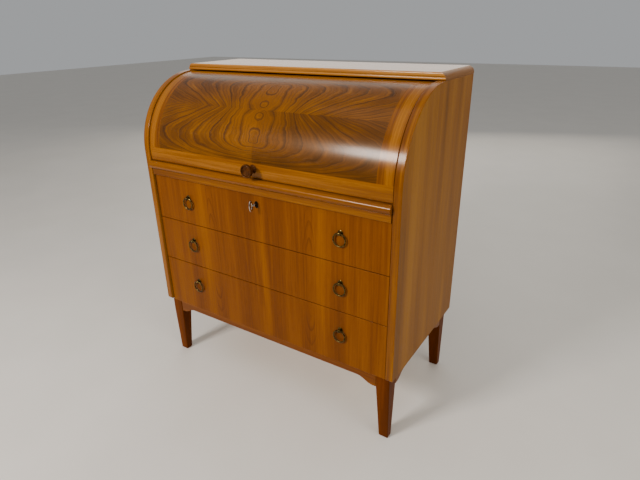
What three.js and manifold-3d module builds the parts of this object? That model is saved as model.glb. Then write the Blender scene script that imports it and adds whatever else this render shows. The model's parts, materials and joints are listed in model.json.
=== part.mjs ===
import * as THREE from "three";
import { mergeVertices } from "three/addons/utils/BufferGeometryUtils.js";
import Module from "manifold-3d";

// Roll top desk on four tapered legs: a cylinder-fall writing desk over three full-width drawers.
// Millimetres, +Z up, front towards -Y. Parts are laid out from the front edge of the side
// panels (y = 0) and the floor (z = 0), then the whole desk is centred over the origin.

const wasm = await Module();
wasm.setup();

// Carcass
const WIDTH = 900;
const DEPTH = 464;
const HEIGHT = 1020;
const PANEL_T = 22;
const PANEL_BOTTOM = 224;
const PANEL_CORNER_R = 6;
const HALF = WIDTH / 2;
const INNER = HALF - PANEL_T;
const GAP = 0.3;
const FIT = INNER - GAP;

// Roll top: everything turns about one pivot line
const PIVOT_Y = 231;
const PIVOT_Z = 769;
const SHELL_R = 227.5;
const SHELL_T = 8;
const SHELL_X = 426;
const SHELL_FROM = -6.8;
const SHELL_TO = 91;

// Top board
const TOP_T = 20;
const TOP_END_R = 18;

// Base
const BASE_TOP = 219.8;
const BOARD_BOTTOM = 220;
const BOARD_T = 18;
const LEG_OUT_X = 437;
const LEG_OUT_Y = 11;
const LEG_TOP = { x: 42, y: 43 };
const LEG_FOOT = { x: 30, y: 24 };
const LEG_LEAN_Y = 6;
const LEG_TAPER_FROM = 178;
const APRON_INSET_X = 13;
const APRON_INSET_Y = 12;
const APRON_T = 18;
const APRON_MID = 197;
const APRON_END = 179;
const BRACKET_W = 62;

// Drawer stack, bottom and top of each front
const FRONT_Y = 7;
const FRONT_T = 18;
const FRONT_X = 426;
const DRAWERS = [
  { name: "drawer_1", low: 546, high: 691.5, box: 556, boxTop: 686 },
  { name: "drawer_2", low: 396, high: 544.5, box: 405, boxTop: 535 },
  { name: "drawer_3", low: 221, high: 394.5, box: 238.5, boxTop: 384 },
];
const BOX_X = 415;
const BOX_T = 12;
const BOX_BOTTOM_T = 6;
const BOX_BACK_Y = 435;
const RUNNER_X = 403;
const RUNNER_T = 15.5;

// Ring pulls
const PULL_X = 280;
const PULL_Z = [617, 469, 317];
const RING_R = 18.3;
const RING_WIRE_R = 2.4;
const RING_Y = 0.5;
const EYE_R = 6;
const EYE_HOLE_R = 3.4;
const PULL_PLATE_R = 8;

// Writing slide
const RAIL = { low: 693, high: 715, back: 40 };
const SLIDE_LIP = { low: 716, high: 740, front: -12, back: 14, x: 427 };
const WRITING_BOARD = { low: 720, high: 738.5, back: 410 };
const BEARER = { x: 404, low: 700, high: 719.7 };

// Pigeonhole fitment behind the roll top
const FITMENT = { base: 741, floor: 751, top: 892, roof: 900, front: 240, back: 396, x: 408, t: 8 };
const DIVIDER_X = 133;
const SHELF = { low: 806, high: 812 };
const TRAY = { low: 752, high: 804, back: 392, wall: 6, clearance: 1.2 };

// Lock and key
const LOCK_Z = 665;
const KEY_BOW = { y: -17, halfY: 8, halfZ: 16.5 };
const LOCK = { x: 24, low: 636, high: 690, back: 38 };
const BOLT = { x: 8, front: 28, back: 34, low: 672, high: 689 };

function paint(color, metalness = 0) {
  return new THREE.MeshStandardMaterial({ color, metalness, roughness: metalness ? 0.35 : 0.5 });
}

const COLOURS = {
  teak: 0x9a5a1e,
  teakDark: 0x5f2f12,
  walnut: 0x4a2812,
  beech: 0xc9a26b,
  hardboard: 0x6b4a2c,
  brass: 0x8a6a35,
  steel: 0xb8b8b4,
};

const desk = new THREE.Group();
desk.name = "roll_top_desk";

function addPart(name, geometry, colour, metalness = 0) {
  const mesh = new THREE.Mesh(geometry, paint(COLOURS[colour], metalness));
  mesh.name = name;
  desk.add(mesh);
}

// Solid helpers -------------------------------------------------------------------------------

function block(x0, x1, y0, y1, z0, z1) {
  const geometry = new THREE.BoxGeometry(x1 - x0, y1 - y0, z1 - z0);
  return geometry.translate((x0 + x1) / 2, (y0 + y1) / 2, (z0 + z1) / 2);
}

function extrude(shape, depth, curveSegments) {
  return new THREE.ExtrudeGeometry(shape, { depth, bevelEnabled: false, curveSegments });
}

// Shape drawn in (y, z), running along X.
function prismX(shape, x0, x1, curveSegments = 12) {
  const basis = new THREE.Matrix4().makeBasis(
    new THREE.Vector3(0, 1, 0),
    new THREE.Vector3(0, 0, 1),
    new THREE.Vector3(1, 0, 0),
  );
  return extrude(shape, x1 - x0, curveSegments).applyMatrix4(basis).translate(x0, 0, 0);
}

// Shape drawn in (x, z), running along Y.
function prismY(shape, y0, y1, curveSegments = 12) {
  const basis = new THREE.Matrix4().makeBasis(
    new THREE.Vector3(1, 0, 0),
    new THREE.Vector3(0, 0, 1),
    new THREE.Vector3(0, -1, 0),
  );
  return extrude(shape, y1 - y0, curveSegments).applyMatrix4(basis).translate(0, y1, 0);
}

function rodX(radius, x0, x1, y, z, segments = 20) {
  const geometry = new THREE.CylinderGeometry(radius, radius, x1 - x0, segments);
  return geometry.rotateZ(Math.PI / 2).translate((x0 + x1) / 2, y, z);
}

function rodY(radius, y0, y1, x, z, segments = 20) {
  const geometry = new THREE.CylinderGeometry(radius, radius, y1 - y0, segments);
  return geometry.translate(x, (y0 + y1) / 2, z);
}

function toManifold(geometry) {
  const bare = new THREE.BufferGeometry();
  bare.setAttribute("position", geometry.attributes.position);
  bare.setIndex(geometry.index);
  const merged = mergeVertices(bare);
  return new wasm.Manifold(
    new wasm.Mesh({
      numProp: 3,
      vertProperties: new Float32Array(merged.attributes.position.array),
      triVerts: new Uint32Array(merged.index.array),
    }),
  );
}

function fromManifold(solid) {
  const mesh = solid.getMesh();
  const geometry = new THREE.BufferGeometry();
  geometry.setAttribute("position", new THREE.BufferAttribute(mesh.vertProperties, 3));
  geometry.setIndex(new THREE.BufferAttribute(mesh.triVerts, 1));
  return geometry;
}

function join(...geometries) {
  return fromManifold(geometries.map(toManifold).reduce((a, b) => a.add(b)));
}

function cut(geometry, ...tools) {
  return fromManifold(tools.map(toManifold).reduce((a, b) => a.subtract(b), toManifold(geometry)));
}

function intersect(a, b) {
  return fromManifold(toManifold(a).intersect(toManifold(b)));
}

// Angles of the roll top are measured from the front horizontal, upwards.
function rollAngle(degrees) {
  return Math.PI - THREE.MathUtils.degToRad(degrees);
}

function rollBand(inner, outer, from, to) {
  const shape = new THREE.Shape();
  shape.absarc(PIVOT_Y, PIVOT_Z, outer, rollAngle(from), rollAngle(to), true);
  shape.absarc(PIVOT_Y, PIVOT_Z, inner, rollAngle(to), rollAngle(from), false);
  shape.closePath();
  return shape;
}

// Carcass ---------------------------------------------------------------------------------------

function sidePanelShape() {
  const top = PIVOT_Z - 0.2;
  const corner = { y: PANEL_CORNER_R, z: PANEL_BOTTOM + PANEL_CORNER_R };
  const shape = new THREE.Shape();
  shape.moveTo(PANEL_CORNER_R, PANEL_BOTTOM);
  shape.lineTo(DEPTH, PANEL_BOTTOM);
  shape.lineTo(DEPTH, top + PIVOT_Y);
  shape.lineTo(PIVOT_Y, top + PIVOT_Y);
  shape.absarc(PIVOT_Y, top, PIVOT_Y, Math.PI / 2, Math.PI, false);
  shape.lineTo(0, PANEL_BOTTOM + PANEL_CORNER_R);
  shape.absarc(corner.y, corner.z, PANEL_CORNER_R, Math.PI, 1.5 * Math.PI, false);
  return shape;
}

for (const [side, sign] of [["left", -1], ["right", 1]]) {
  const xs = [sign * INNER, sign * HALF].sort((a, b) => a - b);
  const panel = prismX(sidePanelShape(), xs[0], xs[1], 16);
  const socket = [sign * (INNER - 1), sign * (INNER + 12)].sort((a, b) => a - b);
  const bore = rodX(5.05, socket[0], socket[1], PIVOT_Y, PIVOT_Z, 24);
  addPart("side_panel_" + side, cut(panel, bore), "teak");
}

// Top board: ends rounded over, front edge worked as a flat fillet above a round bead.
function topEndShape() {
  const low = HEIGHT - TOP_T;
  const shape = new THREE.Shape();
  shape.moveTo(-HALF, low);
  shape.lineTo(HALF, low);
  shape.absarc(HALF - TOP_END_R, HEIGHT - TOP_END_R, TOP_END_R, 0, Math.PI / 2, false);
  shape.absarc(-HALF + TOP_END_R, HEIGHT - TOP_END_R, TOP_END_R, Math.PI / 2, Math.PI, false);
  shape.closePath();
  return shape;
}

function topFrontShape() {
  const low = HEIGHT - TOP_T;
  const beadR = 4.5;
  const shape = new THREE.Shape();
  shape.moveTo(PIVOT_Y + beadR - 1, low);
  shape.lineTo(DEPTH, low);
  shape.lineTo(DEPTH, HEIGHT);
  shape.lineTo(PIVOT_Y + 4, HEIGHT);
  shape.absarc(PIVOT_Y + 4, HEIGHT - 4, 4, Math.PI / 2, Math.PI, false);
  shape.lineTo(PIVOT_Y, low + 2 * beadR + 1.5);
  shape.lineTo(PIVOT_Y + 2, low + 2 * beadR);
  shape.absarc(PIVOT_Y + beadR - 1, low + beadR, beadR, Math.PI / 2, 1.5 * Math.PI, false);
  return shape;
}

const topProfile = prismY(topEndShape(), PIVOT_Y - 2, DEPTH, 8);
addPart("top_board", intersect(topProfile, prismX(topFrontShape(), -HALF, HALF, 6)), "teak");

addPart("back_panel", block(-FIT, FIT, DEPTH - 4, DEPTH, PANEL_BOTTOM, 999.7), "hardboard");
addPart(
  "bottom_board",
  block(-FIT, FIT, 27, DEPTH - 4.3, BOARD_BOTTOM, BOARD_BOTTOM + BOARD_T),
  "beech",
);

const railBlock = block(-FIT, FIT, 0, RAIL.back, RAIL.low, RAIL.high);
const boltMortise = block(-10, 10, BOLT.front - 1.5, BOLT.back + 1.5, RAIL.low - 1, RAIL.low + 9);
addPart("front_rail", cut(railBlock, boltMortise), "teak");

// Base frame: shaped aprons between four tapered legs.
function apronShape(length) {
  const half = length / 2;
  const flat = 10;
  const shape = new THREE.Shape();
  shape.moveTo(-half, BASE_TOP);
  shape.lineTo(-half, APRON_END);
  shape.lineTo(-half + flat, APRON_END);
  shape.bezierCurveTo(
    -half + flat + 16, APRON_END,
    -half + BRACKET_W - 24, APRON_MID,
    -half + BRACKET_W, APRON_MID,
  );
  shape.lineTo(half - BRACKET_W, APRON_MID);
  shape.bezierCurveTo(
    half - BRACKET_W + 24, APRON_MID,
    half - flat - 16, APRON_END,
    half - flat, APRON_END,
  );
  shape.lineTo(half, APRON_END);
  shape.lineTo(half, BASE_TOP);
  shape.closePath();
  return shape;
}

const legInnerX = LEG_OUT_X - LEG_TOP.x;
const legInnerY = LEG_OUT_Y + LEG_TOP.y;
const crossLength = 2 * (legInnerX - GAP);
const sideLength = DEPTH - 2 * (legInnerY + GAP);
const frontApron = prismY(apronShape(crossLength), APRON_INSET_Y, APRON_INSET_Y + APRON_T, 8);
const backFace = DEPTH - APRON_INSET_Y;
addPart("front_apron", frontApron, "teak");
addPart("back_apron", prismY(apronShape(crossLength), backFace - APRON_T, backFace, 8), "teak");
for (const [side, sign] of [["left", -1], ["right", 1]]) {
  const outer = sign * (HALF - APRON_INSET_X);
  const xs = [outer, outer - sign * APRON_T].sort((a, b) => a - b);
  const apron = prismX(apronShape(sideLength), xs[0], xs[1], 8).translate(0, DEPTH / 2, 0);
  addPart("side_apron_" + side, apron, "teak");
}

// A leg is square down to the aprons, then tapers on its inner side and on its front and back.
function legGeometry(signX, signY) {
  const sections = [
    { z: BASE_TOP, x: LEG_TOP.x, y: LEG_TOP.y, lean: 0 },
    { z: LEG_TAPER_FROM, x: LEG_TOP.x, y: LEG_TOP.y, lean: 0 },
    { z: 0, x: LEG_FOOT.x, y: LEG_FOOT.y, lean: LEG_LEAN_Y },
  ];
  const centreY = DEPTH / 2;
  const vertices = [];
  for (const section of sections) {
    const outerY = DEPTH / 2 - LEG_OUT_Y - section.lean;
    const xs = [signX * LEG_OUT_X, signX * (LEG_OUT_X - section.x)].sort((a, b) => a - b);
    const ys = [signY * outerY, signY * (outerY - section.y)].sort((a, b) => a - b);
    for (const [x, y] of [[xs[0], ys[0]], [xs[1], ys[0]], [xs[1], ys[1]], [xs[0], ys[1]]]) {
      vertices.push(x, centreY + y, section.z);
    }
  }
  const indices = [0, 1, 2, 0, 2, 3, 8, 10, 9, 8, 11, 10];
  for (const level of [0, 4]) {
    for (let i = 0; i < 4; i += 1) {
      const next = (i + 1) % 4;
      indices.push(level + i, level + 4 + i, level + 4 + next);
      indices.push(level + i, level + 4 + next, level + next);
    }
  }
  const geometry = new THREE.BufferGeometry();
  geometry.setAttribute("position", new THREE.Float32BufferAttribute(vertices, 3));
  geometry.setIndex(indices);
  return geometry;
}

for (const [depthName, signY] of [["front", -1], ["back", 1]]) {
  for (const [side, signX] of [["left", -1], ["right", 1]]) {
    addPart("leg_" + depthName + "_" + side, legGeometry(signX, signY), "teakDark");
  }
}

// Drawer runners under the upper two drawers, and bearers under the writing slide.
for (const [side, sign] of [["left", -1], ["right", 1]]) {
  const xs = [sign * RUNNER_X, sign * FIT].sort((a, b) => a - b);
  for (const drawer of DRAWERS.slice(0, 2)) {
    const top = drawer.box - 0.4;
    const runner = block(xs[0], xs[1], 27, 440, top - RUNNER_T, top);
    addPart("runner_" + drawer.name.slice(-1) + "_" + side, runner, "beech");
  }
  const bx = [sign * BEARER.x, sign * FIT].sort((a, b) => a - b);
  addPart("slide_bearer_" + side, block(bx[0], bx[1], 41, 455, BEARER.low, BEARER.high), "beech");
}

// Writing slide -----------------------------------------------------------------------------------

const boardFront = SLIDE_LIP.back + GAP;
addPart(
  "writing_board",
  block(-FRONT_X, FRONT_X, boardFront, WRITING_BOARD.back, WRITING_BOARD.low, WRITING_BOARD.high),
  "teak",
);

function lipShape() {
  const radius = (SLIDE_LIP.high - SLIDE_LIP.low) / 2;
  const mid = (SLIDE_LIP.high + SLIDE_LIP.low) / 2;
  const shape = new THREE.Shape();
  shape.moveTo(SLIDE_LIP.front + radius, SLIDE_LIP.low);
  shape.lineTo(SLIDE_LIP.back, SLIDE_LIP.low);
  shape.lineTo(SLIDE_LIP.back, SLIDE_LIP.high);
  shape.lineTo(SLIDE_LIP.front + radius, SLIDE_LIP.high);
  shape.absarc(SLIDE_LIP.front + radius, mid, radius, Math.PI / 2, 1.5 * Math.PI, false);
  return shape;
}
addPart("slide_moulding", prismX(lipShape(), -SLIDE_LIP.x, SLIDE_LIP.x, 10), "teak");

// Roll top ------------------------------------------------------------------------------------------

const shell = rollBand(SHELL_R - SHELL_T, SHELL_R, SHELL_FROM, SHELL_TO);
addPart("roll_shell", prismX(shell, -SHELL_X, SHELL_X, 28), "walnut");

// Steel arm: hub and stub pivot, one spoke, and a curved foot screwed inside the shell.
const ARM = { band: 213.5, spokeAngle: 42, bandFrom: 12, bandTo: 72, hubR: 14, spokeHalf: 10 };
for (const [side, sign] of [["left", -1], ["right", 1]]) {
  const span = (a, b) => [sign * a, sign * b].sort((p, q) => p - q);
  const bandXs = span(411, 424);
  const plateXs = span(419, 424);
  const band = prismX(
    rollBand(ARM.band, SHELL_R - SHELL_T - GAP, ARM.bandFrom, ARM.bandTo),
    bandXs[0],
    bandXs[1],
    14,
  );
  const spokeLength = ARM.band + 2;
  const spoke = block(plateXs[0], plateXs[1], -spokeLength, 0, -ARM.spokeHalf, ARM.spokeHalf)
    .rotateX(-THREE.MathUtils.degToRad(ARM.spokeAngle))
    .translate(0, PIVOT_Y, PIVOT_Z);
  const hubXs = span(418, INNER - 0.5);
  const pinXs = span(418, INNER + 11);
  const hub = rodX(ARM.hubR, hubXs[0], hubXs[1], PIVOT_Y, PIVOT_Z, 24);
  const pin = rodX(5, pinXs[0], pinXs[1], PIVOT_Y, PIVOT_Z, 24);
  addPart("roll_arm_" + side, join(band, spoke, hub, pin), "steel", 1);
}

// Turned pull: flared foot, slim neck, dished face.
function turnedY(profile, x, y, z, segments) {
  const points = profile.map(([radius, out]) => new THREE.Vector2(radius, out));
  return new THREE.LatheGeometry(points, segments).rotateX(Math.PI).translate(x, y, z);
}

const knobProfile = [
  [0, 0], [12, 0], [11.4, 2], [8.6, 6], [7.6, 11], [8.4, 16], [12.5, 20.5],
  [17, 24], [19, 27.5], [19, 30], [17.5, 32.6], [15.5, 33], [9, 31.4], [0, 30.6],
];
addPart("roll_knob", turnedY(knobProfile, 0, PIVOT_Y - SHELL_R - 0.1, PIVOT_Z, 28), "walnut");

// Drawers -------------------------------------------------------------------------------------------

function keyhole(z) {
  const round = rodY(3.3, FRONT_Y - 2, FRONT_Y + FRONT_T + 1, 0, z, 16);
  const slot = block(-1.5, 1.5, FRONT_Y - 2, FRONT_Y + FRONT_T + 1, z - 8.5, z);
  return join(round, slot);
}

for (const drawer of DRAWERS) {
  const face = block(-FRONT_X, FRONT_X, FRONT_Y, FRONT_Y + FRONT_T, drawer.low, drawer.high);
  const front = drawer.name === "drawer_1" ? cut(face, keyhole(LOCK_Z)) : face;
  addPart(drawer.name + "_front", front, "teak");
  const boxFront = FRONT_Y + FRONT_T + 0.2;
  const outer = block(-BOX_X, BOX_X, boxFront, BOX_BACK_Y, drawer.box, drawer.boxTop);
  const inner = block(
    -BOX_X + BOX_T,
    BOX_X - BOX_T,
    boxFront - 5,
    BOX_BACK_Y - BOX_T,
    drawer.box + BOX_BOTTOM_T,
    drawer.boxTop + 5,
  );
  addPart(drawer.name + "_box", cut(outer, inner), "beech");
}

// Ring pulls: an eye on a small round plate, with a loose ring hanging through it.
DRAWERS.forEach((drawer, index) => {
  const eyeZ = PULL_Z[index] + RING_R;
  for (const [side, sign] of [["left", -1], ["right", 1]]) {
    const x = sign * PULL_X;
    const ball = new THREE.SphereGeometry(EYE_R, 20, 14).translate(x, RING_Y, eyeZ);
    const stem = rodY(4, RING_Y, FRONT_Y - 0.1, x, eyeZ);
    const plate = rodY(PULL_PLATE_R, FRONT_Y - 1.6, FRONT_Y - 0.1, x, eyeZ, 24);
    const hole = rodX(EYE_HOLE_R, x - 8, x + 8, RING_Y, eyeZ, 20);
    const label = drawer.name + "_" + side;
    addPart("pull_eye_" + label.slice(7), cut(join(ball, stem, plate), hole), "brass", 1);
    const ring = new THREE.TorusGeometry(RING_R, RING_WIRE_R, 10, 32)
      .rotateX(Math.PI / 2)
      .translate(x, RING_Y, eyeZ - RING_R);
    addPart("pull_ring_" + label.slice(7), ring, "brass", 1);
  }
});

// Lock behind the top drawer front, its bolt, and the key left in it.
const lockFront = FRONT_Y + FRONT_T + 0.3;
const lockBody = block(-LOCK.x, LOCK.x, lockFront, LOCK.back, LOCK.low, LOCK.high);
const boltWayX = BOLT.x + 0.5;
const boltWay = block(-boltWayX, boltWayX, BOLT.front - 0.5, BOLT.back + 0.5, BOLT.low - 0.5, 700);
const keyWay = rodY(8.5, lockFront - 1, lockFront + 8, 0, LOCK_Z, 24);
addPart("lock_case", cut(lockBody, boltWay, keyWay), "brass", 1);
addPart(
  "lock_bolt",
  block(-BOLT.x, BOLT.x, BOLT.front, BOLT.back, BOLT.low, BOLT.high),
  "brass",
  1,
);

function keyGeometry() {
  const shank = rodY(2.3, -10, 31, 0, LOCK_Z, 14);
  const bit = block(-1.1, 1.1, 27, 31, LOCK_Z - 7.5, LOCK_Z);
  const bowOutline = new THREE.Shape();
  bowOutline.absellipse(KEY_BOW.y, LOCK_Z, KEY_BOW.halfY, KEY_BOW.halfZ, 0, 2 * Math.PI, false, 0);
  const bow = prismX(bowOutline, -1.3, 1.3, 14);
  return join(shank, bit, bow);
}
addPart("key", keyGeometry(), "steel", 1);

// Pigeonhole fitment --------------------------------------------------------------------------------

const roofX = FITMENT.x;
addPart(
  "fitment_base",
  block(-FIT, FIT, FITMENT.front, DEPTH - 4.3, FITMENT.base, FITMENT.floor),
  "teak",
);
addPart(
  "fitment_top",
  block(-roofX, roofX, FITMENT.front, FITMENT.back + 4, FITMENT.top, FITMENT.roof),
  "teak",
);
const uprightLow = FITMENT.floor + 0.2;
const uprightHigh = FITMENT.top - 0.2;
addPart(
  "fitment_back",
  block(-roofX, roofX, FITMENT.back + 0.2, FITMENT.back + 4, uprightLow, uprightHigh),
  "hardboard",
);

const smallKnobProfile = [
  [0, 0], [4, 0], [3.4, 5], [4.2, 7], [6.5, 9.5], [6.5, 12], [4.5, 13.6], [0, 14],
];

for (const [side, sign] of [["left", -1], ["right", 1]]) {
  const span = (a, b) => [sign * a, sign * b].sort((p, q) => p - q);
  const outer = span(roofX - FITMENT.t, roofX);
  addPart(
    "fitment_side_" + side,
    block(outer[0], outer[1], FITMENT.front, FITMENT.back, uprightLow, uprightHigh),
    "teak",
  );
  const divider = span(DIVIDER_X - FITMENT.t / 2, DIVIDER_X + FITMENT.t / 2);
  addPart(
    "fitment_divider_" + side,
    block(divider[0], divider[1], FITMENT.front, FITMENT.back, uprightLow, uprightHigh),
    "teak",
  );
  const bay = [DIVIDER_X + FITMENT.t / 2, roofX - FITMENT.t];
  const shelf = span(bay[0] + 0.2, bay[1] - 0.2);
  addPart(
    "fitment_shelf_" + side,
    block(shelf[0], shelf[1], FITMENT.front, FITMENT.back, SHELF.low, SHELF.high),
    "teak",
  );
  const tray = span(bay[0] + TRAY.clearance, bay[1] - TRAY.clearance);
  const trayFront = FITMENT.front + 1;
  const outerTray = block(tray[0], tray[1], trayFront, TRAY.back, TRAY.low, TRAY.high);
  const innerTray = block(
    tray[0] + TRAY.wall,
    tray[1] - TRAY.wall,
    trayFront + 10,
    TRAY.back - TRAY.wall,
    TRAY.low + 4,
    TRAY.high + 5,
  );
  addPart("inner_drawer_" + side, cut(outerTray, innerTray), "teak");
  const trayMid = (sign * (bay[0] + bay[1])) / 2;
  const knobZ = (TRAY.low + TRAY.high) / 2;
  const smallKnob = turnedY(smallKnobProfile, trayMid, trayFront - 0.1, knobZ, 20);
  addPart("inner_knob_" + side, smallKnob, "walnut");
}

// Centre the desk over the origin: the knob is the foremost point, the back is the rearmost.
const knobReach = 33.1;
const frontmost = PIVOT_Y - SHELL_R - knobReach;
desk.position.y = -(DEPTH + frontmost) / 2;

export default desk;
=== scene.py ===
import json
import math

import bmesh
import bpy
from mathutils import Euler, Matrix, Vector


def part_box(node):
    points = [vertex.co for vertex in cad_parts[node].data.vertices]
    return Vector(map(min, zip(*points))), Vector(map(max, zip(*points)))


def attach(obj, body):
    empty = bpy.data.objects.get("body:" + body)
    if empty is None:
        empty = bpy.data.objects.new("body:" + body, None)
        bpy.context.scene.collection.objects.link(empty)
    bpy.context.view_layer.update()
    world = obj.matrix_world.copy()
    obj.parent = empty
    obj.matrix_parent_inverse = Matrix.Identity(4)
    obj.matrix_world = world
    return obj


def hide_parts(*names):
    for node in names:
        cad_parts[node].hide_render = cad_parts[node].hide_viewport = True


# Roll top desk. Metres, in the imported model's frame: +Z up, front towards -Y.

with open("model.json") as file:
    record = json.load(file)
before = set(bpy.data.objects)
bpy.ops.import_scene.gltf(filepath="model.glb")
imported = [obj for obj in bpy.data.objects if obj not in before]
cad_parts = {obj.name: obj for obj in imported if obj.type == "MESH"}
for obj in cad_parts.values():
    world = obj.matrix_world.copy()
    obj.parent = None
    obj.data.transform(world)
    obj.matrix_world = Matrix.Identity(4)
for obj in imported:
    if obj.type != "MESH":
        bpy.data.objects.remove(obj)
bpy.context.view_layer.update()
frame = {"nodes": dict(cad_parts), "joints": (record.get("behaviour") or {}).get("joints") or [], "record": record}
MM = 0.001
PAST = 10 * MM  # how far a cutting shape reaches past what it cuts
THIN_EASE = 0.8 * MM  # eased edges of the thin boards
FINE_EASE = 0.5 * MM  # and of metal and back boards

# Places read from the frame ------------------------------------------------------------------

JOINTS = {joint["name"]: joint for joint in frame["joints"]}
PIVOT = Vector(JOINTS["roll_top_hinge"]["pos_m"])
PANEL_LOW, PANEL_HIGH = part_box("side_panel_right")
SHELL_LOW, SHELL_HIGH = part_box("roll_shell")
FRONT = PANEL_LOW.y
BACK = PANEL_HIGH.y
HALF = PANEL_HIGH.x
INNER = PANEL_LOW.x
PANEL_R = PIVOT.y - FRONT
SHELL_R = PIVOT.y - SHELL_LOW.y
DRAWER_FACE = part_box("drawer_1_front")[0].y
LOCK = Vector(JOINTS["key_turn"]["pos_m"])

# The roll top's thickness, and its edges and veneer by angle up from the front horizontal
SHELL_T = 8 * MM
SHELL_FROM = math.radians(-6.8)
SHELL_TO = math.radians(91)
FIELD_FROM = math.radians(4)
FIELD_TO = math.radians(79.5)
FIELD_X = 381 * MM
FIELD_MID = (FIELD_FROM + FIELD_TO) / 2

# The drawer fronts' veneer: the middle joint, a cathedral out at each side of it, a flame and a
# streak of sapwood beside it, and where the outer leaves start
BOOK_JOINT_X = -5 * MM
CROWN_OUT = 183 * MM
CROWN_Z = 450 * MM
CROWN_RING = 5.8 * MM
CROWN_STRETCH = 0.125
FLAME_X = -40 * MM
SAPWOOD_X = 12 * MM
OUTER_LEAF = 310.5 * MM

# Camera --------------------------------------------------------------------------------------

camera = bpy.data.objects.new("camera", bpy.data.cameras.new("camera"))
bpy.context.scene.collection.objects.link(camera)
camera.location = (0.8834, -1.2262, 1.1353)
camera.rotation_euler = Euler([math.radians(degrees) for degrees in (66.256, 0.933, 32.887)])
camera.data.sensor_width = 36
camera.data.lens = 27.68
camera.data.clip_start = 0.01
bpy.context.scene.camera = camera


# Light ---------------------------------------------------------------------------------------

def area_light(name, place, target, width, height, power, colour):
    light = bpy.data.objects.new(name, bpy.data.lights.new(name, "AREA"))
    light.data.shape = "RECTANGLE"
    light.data.size = width
    light.data.size_y = height
    light.data.energy = power
    light.data.color = colour
    light.location = place
    aim = Vector(target) - Vector(place)
    light.rotation_euler = aim.to_track_quat("-Z", "Y").to_euler()
    bpy.context.scene.collection.objects.link(light)


area_light("window", place=(-0.84, -2.61, 2.06), target=(0.2, 0, 0.8), width=0.65, height=0.5,
           power=98, colour=(1.0, 0.95, 0.92))
area_light("ceiling", place=(0.5, -0.9, 3.2), target=(0, 0, 0.4), width=3.2, height=3.2,
           power=32, colour=(1.0, 0.98, 0.94))
area_light("side_fill", place=(3.2, -0.6, 1.7), target=(0.3, 0, 0.6), width=2.0, height=2.0,
           power=37, colour=(1.0, 0.97, 0.9))
area_light("back_fill", place=(-1.4, 3.4, 2.0), target=(0, 0, 0.8), width=5.0, height=3.2,
           power=56, colour=(1.0, 0.95, 0.86))

world = bpy.data.worlds.new("studio")
world.use_nodes = True
sky = world.node_tree.nodes["Background"]
sky.inputs["Color"].default_value = (0.84, 0.86, 0.88, 1)
sky.inputs["Strength"].default_value = 0.45
bpy.context.scene.world = world


# Shader graphs -------------------------------------------------------------------------------

class Number:
    """A number in a material's node tree. Arithmetic on it adds the nodes that work it out."""

    def __init__(self, tree, socket):
        self.tree = tree
        self.socket = socket

    def math(self, operation, *others):
        node = self.tree.nodes.new("ShaderNodeMath")
        node.operation = operation
        for port, value in zip(node.inputs, (self, *others)):
            feed(self.tree, port, value)
        return Number(self.tree, node.outputs[0])

    def __add__(self, other):
        return self.math("ADD", other)

    def __sub__(self, other):
        return self.math("SUBTRACT", other)

    def __mul__(self, other):
        return self.math("MULTIPLY", other)

    def __truediv__(self, other):
        return self.math("DIVIDE", other)

    def __abs__(self):
        return self.math("ABSOLUTE")

    def rest(self):
        """What is left of 1."""
        return self * -1 + 1

    def between(self, low, high):
        """0 below low, 1 above high, with a smooth step between them."""
        node = self.tree.nodes.new("ShaderNodeMapRange")
        node.interpolation_type = "SMOOTHSTEP"
        feed(self.tree, node.inputs["Value"], self)
        feed(self.tree, node.inputs["From Min"], low)
        feed(self.tree, node.inputs["From Max"], high)
        return Number(self.tree, node.outputs["Result"])


def feed(tree, port, value):
    if isinstance(value, Number):
        tree.links.new(value.socket, port)
    elif isinstance(value, bpy.types.NodeSocket):
        tree.links.new(value, port)
    else:
        port.default_value = value


def srgb(red, green, blue):
    """Linear colour from the usual 0 to 255 screen values, by the sRGB curve."""
    scaled = [channel / 255 for channel in (red, green, blue)]
    linear = [c / 12.92 if c <= 0.04045 else ((c + 0.055) / 1.055) ** 2.4 for c in scaled]
    return (*linear, 1)


def darker(colour, share):
    return (*(channel * share for channel in colour[:3]), 1)


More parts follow.
